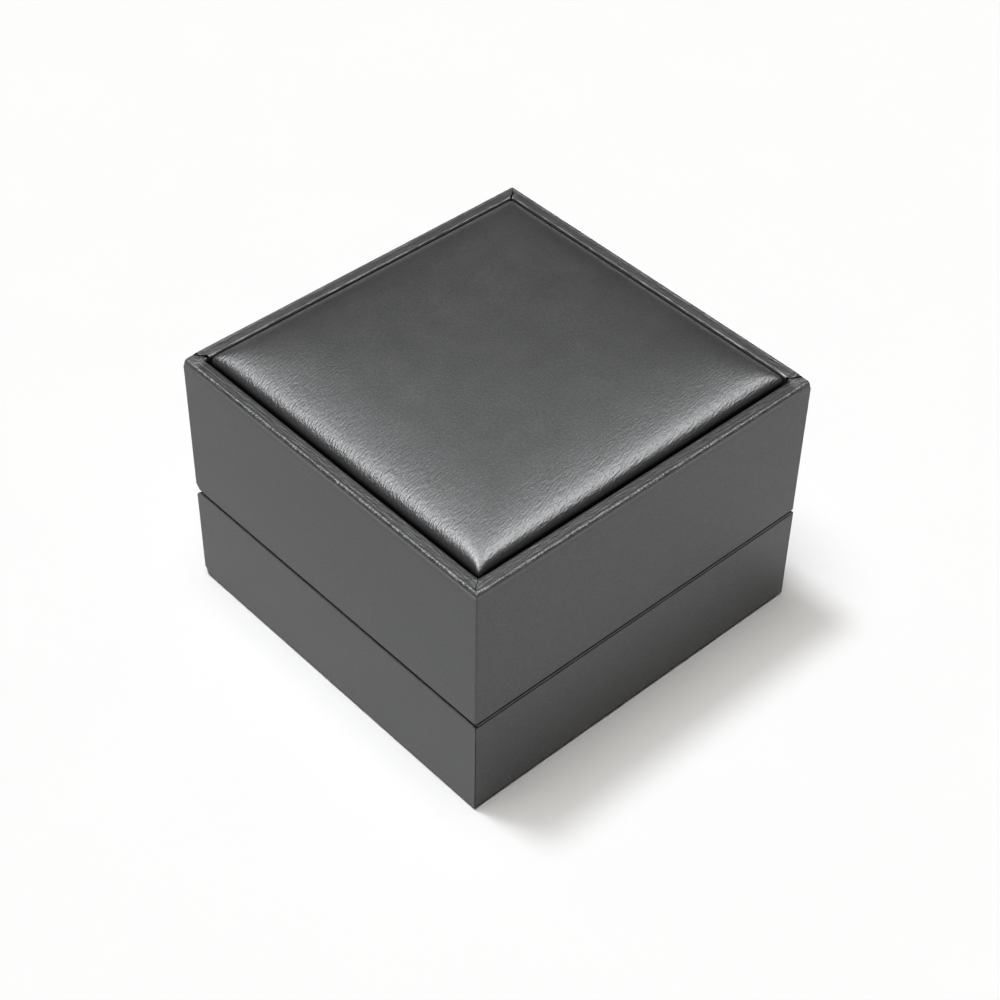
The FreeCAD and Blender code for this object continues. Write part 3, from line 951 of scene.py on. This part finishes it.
def thicken(piece, thickness, edge_round, even=True, black_shaded=False):
    """Gives a skin its thickness inwards, and rounds its raw edges. A black-shaded one gets near-black painted
    shade on its back and cut edges.
    """
    # The second material, near-black, is painted shade for the back faces and cut edges.
    if black_shaded:
        piece.data.materials.append(finishes["leatherette"])
        piece.data.materials.append(finishes["painted shade black"])
    back = int(black_shaded)
    finish_with(
        piece, "SOLIDIFY", thickness=thickness, offset=-1, use_even_offset=even,
        material_offset=back, material_offset_rim=back,
    )
    finish_with(
        piece, "BEVEL", width=edge_round, segments=2, limit_method="ANGLE", angle_limit=math.radians(50),
    )


def ready(piece, body, slot, *replaced):
    """The last step of each piece: the finish of its slot if it has none yet, smooth shading, its body, and hiding
    what it stands for.
    """
    if not piece.data.materials:
        coat(piece, slot)
    smooth(piece)
    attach(piece, body)
    if replaced:
        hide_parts(*replaced)
    print(piece.name, len(piece.data.polygons), "faces, on the", body)


bevel_back(lid_wrap, 1)
open_hinge_rooms(lid_wrap, 1)
thicken(lid_wrap, folded_thickness, 0.06 * mm, even=False, black_shaded=True)
ready(lid_wrap, "lid", "leatherette", "lid_wrap")

# %% [markdown]
# Deep in the slits, where the lower fold is tucked under the upper one, there is only shade. So each corner of the
# boards gets a thin cap painted near-black, which is painted shade: a shell without a lower face that is given
# thickness like every sheet here.

# %% Painted shade: black caps in the four corners
tuck_inset = 0.44 * mm
tuck_width = rim - tuck_inset
tuck_depth = 2.5 * mm
lapped_tuck_start = 1.0 * mm
lapped_tuck_length = 6 * mm


def rim_tuck(name, corner, start, length):
    """A cap over the end of the boards, from start to length along the wall, near-black as painted shade."""
    ends = [corner.at(start, start), corner.at(length, tuck_width)]
    low = (min(end.x for end in ends), min(end.y for end in ends), rim_top - tuck_depth)
    high = (max(end.x for end in ends), max(end.y for end in ends), rim_top - tuck_inset)
    tuck = block("rim_tuck_" + name, low, high)
    edit(tuck)
    pick("FACE", lambda face: face.normal.z < -0.5)
    bpy.ops.mesh.delete(type="FACE")
    finish_with(tuck, "SOLIDIFY", thickness=0.04 * mm, offset=-1, use_even_offset=True)
    # The cap's near-black finish is painted shade deep in the slit.
    coat(tuck, "painted shade black")
    ready(tuck, "lid", "lining_paper")


rim_tuck("left", corner_left, lapped_tuck_start, lapped_tuck_length)
rim_tuck("right", corner_right, lapped_tuck_start, lapped_tuck_length)
rim_tuck("front", corner_front, tuck_inset, tuck_width)
rim_tuck("back", corner_back, tuck_inset, tuck_width)

# %% [markdown]
# ## The base's wrap, the card under the lid and the drawer's front
#
# The base is wrapped on three sides only, because its whole front is the drawer. The wrap ends
# at the front in a mitre, where it is turned in, and the drawer's front ends in the matching
# mitre. A thin covered card closes the base, and only its edge shows, as a fine line under the
# lid. At the lower left corner, where the sheet is folded under the box, the wrap is thick and
# round, so that corner is drawn onto a ball like the ones of the rim.

# %% Base wrap
base_sheet = 0.3 * mm
mitre_shift = 0.02 * mm
turned_under = 1.9 * mm
first_cut = 0.4 * mm
base_low, base_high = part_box("base_wrap")
base_foot = base_low.z
wrap_foot = base_foot + fold_round
wrap_head = base_high.z - fold_round
base_wrap = block(
    "base_wrap_folded",
    (-half_width, -half_depth + mitre_shift, wrap_foot), (half_width, half_depth, wrap_head),
)
edit(base_wrap)
pick("FACE", lambda face: abs(face.normal.z) > 0.5 or face.normal.y < -0.5)
bpy.ops.mesh.delete(type="FACE")
round_off(side_corner_round, 6, lambda edge: upright(edge) and middle(edge).y > 0 > middle(edge).x)
round_off(front_corner_round, 4, lambda edge: upright(edge) and middle(edge).y > 0 and middle(edge).x > 0)
pick("EDGE", level_edge(wrap_head))
climb(half_width, half_depth, turn_in(fold_round, 0, wrap_head, 1, 3))
pick("EDGE", level_edge(wrap_foot))
climb(half_width, half_depth, turn_in(fold_round, 0, wrap_foot, -1, 3) + [(turned_under, base_foot)])

# %% The base wrap's mitred ends, and its lower left corner
def front_end(edge):
    """An open edge at the front that isn't level."""
    first, second = edge.verts
    rises = abs(first.co.z - second.co.z) > level_slack
    return edge.is_boundary and rises and middle(edge).y < -half_depth + mm


for side in (-1, 1):
    pick("EDGE", lambda edge: front_end(edge) and middle(edge).x * side > 0)
    bpy.ops.mesh.extrude_region()
    bpy.ops.transform.translate(value=(-side * wall, wall, 0))
bpy.ops.mesh.select_all(action="SELECT")
bpy.ops.mesh.normals_make_consistent(inside=False)
for depth in (first_cut, tip_round, tip_depth):
    cut_through((0, 0, base_foot + depth), (0, 0, 1), lambda face: True)
    cut_through((depth - half_width, 0, 0), (1, 0, 0), lambda face: True)
    cut_through((0, half_depth - depth, 0), (0, 1, 0), lambda face: True)
round_tip(corner_left, base_foot, 1)
bevel_back(base_wrap, -1)
open_hinge_rooms(base_wrap, -1)
thicken(base_wrap, base_sheet, 0.05 * mm, even=False, black_shaded=True)
ready(base_wrap, "base", "leatherette", "base_wrap")

# %% Card on the deck
card_inset = 0.4 * mm
card_front_gap = 0.04 * mm
card_edge = 0.12 * mm
cover_low, cover_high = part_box("base_deck_cover")
card_low = (cover_low.x + card_inset, cover_low.y + card_front_gap, cover_low.z)
card_high = (cover_high.x - card_inset, cover_high.y, cover_high.z - card_edge)
card = block("deck_card", card_low, card_high)
edit(card)
round_corners(front_corner_round, 4, 1)
round_corners(side_corner_round, 6, -1)
bevel_back(card, -1)
put_down()
for side in (-1, 1):
    bpy.ops.mesh.primitive_cylinder_add(
        vertices=32, radius=barrel_room, depth=2 * room_half_length,
        location=(side * hinge_x, hinge_y, hinge_z), rotation=(0, math.radians(90), 0),
    )
    bpy.ops.object.transform_apply(location=True, rotation=True, scale=True)
    carve(card, bpy.context.object)
finish_with(
    card, "BEVEL", width=card_edge, segments=2, limit_method="ANGLE", angle_limit=math.radians(60),
)
ready(card, "base", "leatherette", "base_deck_cover")

# %% Drawer front
front_edge_round = 0.25 * mm
front_low, front_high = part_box("drawer_front_wrap")
front_skin = block("drawer_front_folded", front_low, front_high)
edit(front_skin)
for side in (-1, 1):
    bpy.ops.mesh.select_all(action="SELECT")
    bpy.ops.mesh.bisect(
        plane_co=(side * front_high.x, front_low.y, 0), plane_no=(side, 1, 0),
        clear_outer=True, use_fill=True, threshold=nearest,
    )
pick("FACE", lambda face: face.normal.y > 0.9)
bpy.ops.mesh.delete(type="FACE")
round_off(front_edge_round, 3, lambda edge: not upright(edge) and middle(edge).y < front_low.y + 0.1 * mm)
thicken(front_skin, folded_thickness, 0.05 * mm, black_shaded=True)
ready(front_skin, "drawer", "leatherette", "drawer_front_wrap")

# %% [markdown]
# ## Padded pieces
#
# The cushion, the ceiling pad and the ring rolls are foam in a cover. A pad could be sculpted,
# but a short cloth simulation gives the even, slightly tense swelling of a real one. The pad
# starts smaller than it should end, becomes an even mesh, and is blown up as cloth with its
# glued side pinned. It is simulated enlarged, because cloth settings suit objects of about half
# a metre. The pad may not grow further than the gap round it allows. So the swelling is evened
# out and then scaled down as a whole: cutting it off point by point would leave a ridge.

# %% Evening out a pad's mesh, and its swelling
pad_grid = 0.8 * mm
evening_turns = 12


def even_mesh(piece):
    """Remakes a piece from even squares."""
    take(piece)
    piece.data.remesh_voxel_size = pad_grid
    bpy.ops.object.voxel_remesh()


def evened(piece, moves):
    """Each point's move becomes the mean of its own and its neighbours'."""
    sums = [move.copy() for move in moves]
    counts = [1] * len(moves)
    for edge in piece.data.edges:
        first, second = edge.vertices
        sums[first] += moves[second]
        sums[second] += moves[first]
        counts[first] += 1
        counts[second] += 1
    return [total / count for total, count in zip(sums, counts)]


# %% Swelling a pad
def swell(piece, pinned, most_across, most_up, enlarged=6.0, pressure=4.0, frames=20):
    """Blows a pad up as cloth, and keeps as much of the swelling as is allowed. Pinned points stay."""
    start = [vertex.co.copy() for vertex in piece.data.vertices]
    group = piece.vertex_groups.new(name="glued")
    group.add([vertex.index for vertex in piece.data.vertices if pinned(vertex.co)], 1.0, "ADD")
    piece.data.transform(Matrix.Scale(enlarged, 4))
    take(piece)
    cloth = piece.modifiers.new("cloth", "CLOTH")
    cloth.settings.quality = 6
    cloth.settings.use_pressure = True
    cloth.settings.uniform_pressure_force = pressure
    cloth.settings.effector_weights.gravity = 0
    cloth.settings.vertex_group_mass = "glued"
    for frame_number in range(1, frames + 1):
        scene.frame_set(frame_number)
    bpy.ops.object.modifier_apply(modifier="cloth")
    scene.frame_set(1)
    piece.vertex_groups.clear()
    piece.data.transform(Matrix.Scale(1 / enlarged, 4))
    moves = [vertex.co - before for vertex, before in zip(piece.data.vertices, start)]
    furthest = max(move.length for move in moves)
    print(piece.name, "swelled by up to", round(furthest / mm, 2), "mm, before it is scaled down")
    for turn in range(evening_turns):
        moves = evened(piece, moves)
    widest = max(math.hypot(move.x, move.y) for move in moves)
    highest = max(abs(move.z) for move in moves)
    share_across = min(1.0, most_across / widest)
    share_up = min(1.0, most_up / highest)
    for vertex, before, move in zip(piece.data.vertices, start, moves):
        vertex.co = before + Vector((move.x * share_across, move.y * share_across, move.z * share_up))


def padded(piece, body, slot, fill, *replaced):
    """The last step of each padded piece."""
    finish_with(piece, "SUBSURF", levels=1, render_levels=1)
    ready(piece, body, slot, *replaced)


# %% [markdown]
# ## The lid's cushion
#
# The cushion stands a little above the rim. Its edge rolls over into the gap, its top rises in
# a low crown, and at the front corner the cover is pinched into a point. The crown is steeper
# near the edge than in the middle, as a cover over foam is.

# %% How a cover rises from its edge
roll_reach = 1.5 * mm
roll_power = 0.8
roll_share = 0.62
crown_reach = 14 * mm
ridge = 3.0
closeness = 1.35


def both(from_x, from_y):
    """The rise that two sides have together. They meet in a soft ridge at the corners."""
    return (from_x ** -ridge + from_y ** -ridge) ** (-1 / ridge)


def rise(from_x, from_y):
    """From 0 at a pad's edge to nearly 1 in its middle: a quick roll over the edge, and a slow crown."""
    if min(from_x, from_y) <= 0:
        return 0.0
    roll = both((from_x / roll_reach) ** roll_power, (from_y / roll_reach) ** roll_power)
    crown = both(from_x / crown_reach, from_y / crown_reach)
    return roll_share * (1 - math.exp(-roll)) + (1 - roll_share) * (1 - math.exp(-crown))


def closer_at_edges(part):
    """Moves an even position from -1 to 1 so that the points lie closer near the ends."""
    return math.copysign(1 - (1 - abs(part)) ** closeness, part)


def fading(distance, reach):
    """From 1 at no distance to nearly 0 beyond three reaches."""
    return math.exp(-max(distance, 0.0) / reach)


# %% Cushion
cushion_low, cushion_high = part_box("lid_cushion_cover")
cushion_swell = 0.1 * mm
cushion_swell_up = 0.15 * mm
cushion_gap = 0.35 * mm
cushion_middle = Vector((0.15, 0.15, 0)) * mm
cushion_half_x = half_width - rim - cushion_gap - cushion_swell
cushion_half_y = half_depth - rim - cushion_gap - cushion_swell
shoulder = rim_top - 0.8 * mm
side_heights = (59.0 * mm, 58.0 * mm, 56.5 * mm, cushion_low.z)
back_raise = 0.45 * mm
side_point_round = 1.5 * mm
front_point_round = 0.6 * mm
put_down()
bpy.ops.mesh.primitive_grid_add(x_subdivisions=72, y_subdivisions=72, size=2)
cushion = bpy.context.object
cushion.name = "lid_cushion"
for vertex in cushion.data.vertices:
    x = cushion_half_x * closer_at_edges(vertex.co.x)
    y = cushion_half_y * closer_at_edges(vertex.co.y)
    from_x, from_y = cushion_half_x - abs(x), cushion_half_y - abs(y)
    edge_height = shoulder + back_raise * max(x / cushion_half_x, y / cushion_half_y, 0) ** 2
    z = edge_height + (cushion_high.z - edge_height) * rise(from_x, from_y)
    corner_round = side_point_round if x * y < 0 else front_point_round
    if max(from_x, from_y) < corner_round:
        off_x, off_y = corner_round - from_x, corner_round - from_y
        rounded = max(off_x, off_y) / math.hypot(off_x, off_y)
        x = math.copysign(cushion_half_x - corner_round + off_x * rounded, x)
        y = math.copysign(cushion_half_y - corner_round + off_y * rounded, y)
    vertex.co = (x, y, z)
edit(cushion, "EDGE")
pick("EDGE", lambda edge: edge.is_boundary)
for height in side_heights:
    bpy.ops.mesh.extrude_region()
    bpy.ops.transform.resize(value=(1, 1, 0), center_override=(0, 0, height))
bpy.ops.mesh.fill_grid()
bpy.ops.mesh.select_all(action="SELECT")
bpy.ops.mesh.normals_make_consistent(inside=False)
put_down()

# %% The cushion's near sides are pulled in, and its front corner is pinched
glued_below = 57 * mm
pull_rise = 2.5 * mm
pulled_in = 0.3 * mm
pull_fades = 4 * mm
pinch = 0.22 * mm
pinch_width = 0.4 * mm
for vertex in cushion.data.vertices:
    x, y, z = vertex.co
    upper = min(1.0, max(0.0, (z - glued_below) / pull_rise))
    from_left, from_front = cushion_half_x + x, cushion_half_y + y
    from_right, from_back = cushion_half_x - x, cushion_half_y - y
    near_left, near_front = fading(from_left, pull_fades), fading(from_front, pull_fades)
    off_corners_x = (1 - near_front) * (1 - fading(from_back, pull_fades))
    off_corners_y = (1 - near_left) * (1 - fading(from_right, pull_fades))
    vertex.co.x += upper * pulled_in * near_left * off_corners_x
    vertex.co.y += upper * pulled_in * near_front * off_corners_y
    off_ridge = (from_left - from_front) / math.sqrt(2)
    pinched = math.exp(-(off_ridge / pinch_width) ** 2) * fading(from_left + from_front, pull_fades)
    vertex.co.z -= upper * pinch * pinched

# %% The cushion is swelled, and stretched to its real height
swell(cushion, lambda place: place.z < glued_below, cushion_swell, cushion_swell_up)
cushion.data.transform(Matrix.Translation(cushion_middle))
top = max(vertex.co.z for vertex in cushion.data.vertices)
stretch = (cushion_high.z - shoulder) / (top - shoulder)
for vertex in cushion.data.vertices:
    if vertex.co.z > shoulder:
        vertex.co.z = shoulder + (vertex.co.z - shoulder) * stretch
print("cushion top", round(top / mm, 2), "mm, stretched by", round(stretch, 3))
coat(cushion, "leatherette on foam")
padded(cushion, "lid", "leatherette", 0.8, "lid_cushion_cover", "lid_cushion_foam")

# %% [markdown]
# ## The pad inside the lid
#
# A thinner satin pad closes the lid from inside. It is the same kind of pad, upside down.

# %% Ceiling pad
ceiling_low, ceiling_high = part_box("lid_ceiling_pad")
ceiling_swell = 0.5 * mm
ceiling_swell_across = 0.2 * mm
ceiling_glued = 0.4 * mm
ceiling_roll = 1.2 * mm
ceiling_corner_round = 1.2 * mm
ceiling_side_foot = ceiling_low.z + ceiling_swell + ceiling_roll
ceiling_half_x = ceiling_high.x - ceiling_swell_across
ceiling_half_y = ceiling_high.y - ceiling_swell_across
ceiling = open_box(
    "lid_ceiling", (-ceiling_half_x, -ceiling_half_y, ceiling_side_foot),
    (ceiling_half_x, ceiling_half_y, ceiling_high.z), ceiling_corner_round, ceiling_corner_round,
)
pick("EDGE", level_edge(ceiling_side_foot))
climb(ceiling_half_x, ceiling_half_y, turn_in(ceiling_roll, 0, ceiling_side_foot, -1, 6))
bpy.ops.mesh.edge_face_add()
pick("EDGE", level_edge(ceiling_high.z))
bpy.ops.mesh.edge_face_add()
bpy.ops.mesh.select_all(action="SELECT")
bpy.ops.mesh.normals_make_consistent(inside=False)
even_mesh(ceiling)
ceiling_glue_foot = ceiling_high.z - ceiling_glued
swell(ceiling, lambda place: place.z > ceiling_glue_foot, ceiling_swell_across, ceiling_swell)
padded(ceiling, "lid", "satin", 0.5, "lid_ceiling_pad")

# %% [markdown]
# ## Ring rolls
#
# A ring is pushed between two velvet rolls. Each roll is a foam rod in a velvet sleeve, glued
# down on a narrow flat. One roll is modelled and swelled, and the other five are copies with
# their own meshes.

# %% The first ring roll
roll_low, roll_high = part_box("ring_roll_1")
roll_swell = 0.2 * mm
roll_end_round = 1.6 * mm
roll_glued = 0.3 * mm
roll_radius = (roll_high.y - roll_low.y) / 2 - roll_swell
roll_middle = (roll_low + roll_high) / 2
roll_centre_z = roll_high.z - roll_swell - roll_radius
roll_end = roll_high.x - roll_swell
put_down()
bpy.ops.mesh.primitive_cylinder_add(
    vertices=48, radius=roll_radius, depth=2 * roll_end,
    location=(0, roll_middle.y, roll_centre_z), rotation=(0, math.radians(90), 0),
)
ring_roll = bpy.context.object
ring_roll.name = "ring_pillow_1"
bpy.ops.object.transform_apply(location=True, rotation=True, scale=True)
edit(ring_roll)
round_off(roll_end_round, 5, lambda edge: abs(abs(middle(edge).x) - roll_end) < 0.1 * mm)
bpy.ops.mesh.select_all(action="SELECT")
bpy.ops.mesh.bisect(
    plane_co=(0, 0, roll_low.z), plane_no=(0, 0, -1), clear_outer=True, use_fill=True, threshold=nearest,
)
even_mesh(ring_roll)
roll_glue_top = roll_low.z + roll_glued
swell(ring_roll, lambda place: place.z < roll_glue_top, roll_swell, roll_swell, enlarged=10.0)

# %% Its five copies
roll_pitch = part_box("ring_roll_2")[0].y - roll_low.y
ring_rolls = [ring_roll]
for number in range(2, 7):
    copy = bpy.data.objects.new("ring_pillow_" + str(number), ring_roll.data.copy())
    scene.collection.objects.link(copy)
    copy.data.transform(Matrix.Translation((0, (number - 1) * roll_pitch, 0)))
    ring_rolls.append(copy)
for number, copy in enumerate(ring_rolls, 1):
    padded(copy, "base", "velvet", 0.7, "ring_roll_" + str(number))

# %% [markdown]
# ## Linings
#
# Velvet is glued over the collar, inside the lid and inside the drawer. Over the collar it is a
# sleeve, pulled over the boards' upper edge with a soft roll. Inside the lid and the drawer it is
# a ring of cloth, and each floor is a sheet that isn't perfectly flat.

# %% A lining sleeve
velvet_thickness = 0.36 * mm
sleeve_round = 0.5 * mm


def lining_sleeve(name, node, body, width):
    """Velvet over a frame of boards that is width wide, folded over its upper edge and open below."""
    low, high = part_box(node)
    sides_top = high.z - sleeve_round
    piece = open_box(name, low, (high.x, high.y, sides_top), sleeve_round, sleeve_round)
    pick("EDGE", level_edge(sides_top))
    rings = turn_in(sleeve_round, 0, sides_top, 1, 4)
    rings += turn_down(sleeve_round, width - sleeve_round, high.z, 4) + [(width, low.z)]
    half = (high - low) / 2
    climb(half.x, half.y, rings)
    thicken(piece, velvet_thickness, 0.08 * mm)
    ready(piece, body, "velvet", node)


# %% Lining rings and floors
ring_corner_round = 0.3 * mm
sheet_wave = 9 * mm
sheet_rise = 0.05 * mm


def lining_ring(name, node, body):
    """Velvet glued round the inside of four walls. Its cut edges are a little rounded."""
    low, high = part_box(node)
    piece = open_box(name, low, high, ring_corner_round, ring_corner_round)
    thicken(piece, velvet_thickness, 0.1 * mm)
    ready(piece, body, "velvet", node)


def lining_floor(name, node, body):
    """A sheet that rises and falls by a few hundredths of a millimetre."""
    low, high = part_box(node)
    piece = block(name, low, high)
    edit(piece)
    pick("EDGE", lambda edge: not upright(edge))
    bpy.ops.mesh.subdivide(number_cuts=24)
    put_down()
    for vertex in piece.data.vertices:
        if vertex.co.z > high.z - level_slack:
            vertex.co.z -= sheet_rise * (1 + noise.noise(vertex.co / sheet_wave))
    ready(piece, body, "velvet", node)


# %% The five linings
lining_sleeve("collar_sleeve", "collar_velvet", "base", board)
lining_ring("lid_lining_ring", "lid_wall_lining", "lid")
lining_ring("drawer_lining_ring", "drawer_wall_velvet", "drawer")
lining_floor("tray_sheet", "tray_velvet", "base")
lining_floor("drawer_floor_sheet", "drawer_floor_velvet", "drawer")

# %% [markdown]
# ## The studio
#
# The floor and backdrop are one plain pale surface. The key lamp stands high behind the box's
# left corner, and throws a short soft shadow to the front right. A broad softbox hangs almost
# overhead, and lights the cushion and, at a slant, the walls. The rest of the room is dim.
#
# A product studio also has white cards, placed so that each shows as a glint on one rounded
# edge, while it adds hardly any light to the rest. Three broad lamps stand for them: they are
# kept from matt light and only appear in reflections. All lamps are suns, because those light
# the whole floor evenly, and their angle makes them as soft as a large cloth.

# %% Floor
bpy.ops.object.select_all(action="DESELECT")
bpy.ops.mesh.primitive_plane_add(size=40, location=(0, 0, 0))
floor = bpy.context.object
floor.name = "floor"
floor_finish, floor_paint, floor_shader = start_finish("floor_paper", Roughness=1.0, Specular_IOR_Level=0.0)
paper = grain(floor_paint, object_place(floor_paint), 40 * mm)
pale = shade_between(floor_paint, paper, (0.93, 0.93, 0.93), (0.945, 0.945, 0.945))
feed(floor_paint, floor_shader, Base_Color=pale)
floor.data.materials.append(floor_finish)


# %% Lamps and the room's own light
def sun(name, towards_x, towards_y, elevation, angle, strength, colour=(1, 1, 1), only_glints=False):
    """A soft lamp far away, seen from the box in a direction and at an elevation."""
    lamp = bpy.data.lights.new(name, "SUN")
    lamp.angle = math.radians(angle)
    lamp.energy = strength
    lamp.color = colour
    holder = bpy.data.objects.new(name, lamp)
    scene.collection.objects.link(holder)
    level = math.cos(math.radians(elevation)) / math.hypot(towards_x, towards_y)
    way = Vector((towards_x * level, towards_y * level, math.sin(math.radians(elevation))))
    holder.matrix_world = way.to_track_quat("Z", "Y").to_matrix().to_4x4()
    holder.visible_diffuse = not only_glints


sun("key", -5, 15, elevation=74, angle=9, strength=1.17, colour=(0.97, 1.0, 1.05))
sun("softbox", -8, 1, elevation=82, angle=32, strength=2.04, colour=(1.0, 1.0, 0.98))
sun("glint_right", 0.5, -0.05, elevation=61, angle=28, strength=2.5, only_glints=True)
sun("glint_left", -0.02, 0.52, elevation=59, angle=31, strength=2.05, only_glints=True)
sun("glow_back", 1, 1, elevation=66, angle=34, strength=0.72, only_glints=True)
world = bpy.data.worlds.new("room")
world.use_nodes = True
world.node_tree.nodes["Background"].inputs["Color"].default_value = (0.065, 0.05, 0.04, 1)
scene.world = world
print("lamps:", ", ".join(lamp.name for lamp in bpy.data.lights))
